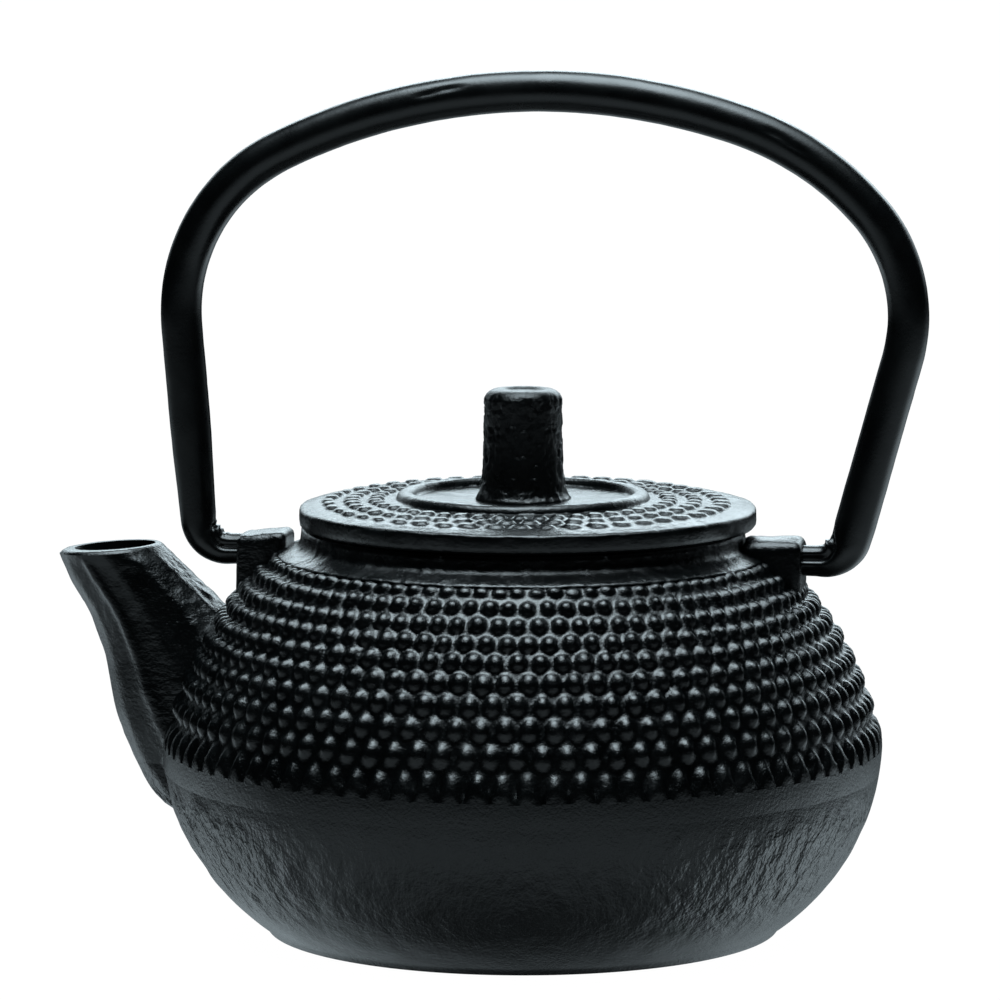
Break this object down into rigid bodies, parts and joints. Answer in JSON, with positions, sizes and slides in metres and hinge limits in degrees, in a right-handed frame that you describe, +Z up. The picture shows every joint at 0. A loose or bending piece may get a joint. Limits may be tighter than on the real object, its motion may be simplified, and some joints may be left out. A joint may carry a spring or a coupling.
{
  "type": "teapot",
  "caption": "Small round cast-iron teapot with a hobnail shoulder, short spout, loose studded lid with knob, swinging arched bail handle and lift-out steel infuser.",
  "frame": {"origin": "centre of the flat base, on the pot's axis, at the level the pot stands on", "axes": "+Z up through the lid knob; the spout points along -X; the bail's two lugs are at -X and +X and it swings about X; +Y is the side away from the front"},
  "size_m": [0.1474, 0.1208, 0.1442],
  "materials": {
    "black_cast_iron": "cast iron with a semi-gloss black coating",
    "black_cast_iron_lid": "cast iron with a semi-gloss black coating, brighter on the studs",
    "black_cast_iron_knob": "rough cast iron with a semi-gloss black coating",
    "black_steel_tube": "satin black coating on rolled steel tube",
    "plated_steel": "zinc-plated steel",
    "stainless_steel": "brushed stainless sheet"
  },
  "bodies": {
    "pot": {"pot_body": "black_cast_iron", "spout": "black_cast_iron"},
    "lid_assembly": {"lid": "black_cast_iron_lid", "lid_knob": "black_cast_iron_knob", "knob_washer": "plated_steel", "knob_rivet": "plated_steel"},
    "bail": {"bail_handle": "black_steel_tube"},
    "infuser": {"infuser_rim": "stainless_steel", "infuser_wall": "stainless_steel", "infuser_base": "stainless_steel"}
  },
  "joints": [
    {"name": "bail_swing", "type": "hinge", "parent": "pot", "child": "bail", "pos_m": [0, 0, 0.063], "axis": [1, 0, 0], "range_deg": [-104, 104]},
    {"name": "lid_lift", "type": "slide", "parent": "pot", "child": "lid_assembly", "axis": [0, 0, 1], "range_m": [0, 0.042]},
    {"name": "infuser_lift", "type": "slide", "parent": "pot", "child": "infuser", "axis": [0, 0, 1], "range_m": [0, 0.0252]}
  ],
  "couplings": [
    {"joint": "infuser_lift", "follows": "lid_lift", "ratio": 0.6}
  ]
}
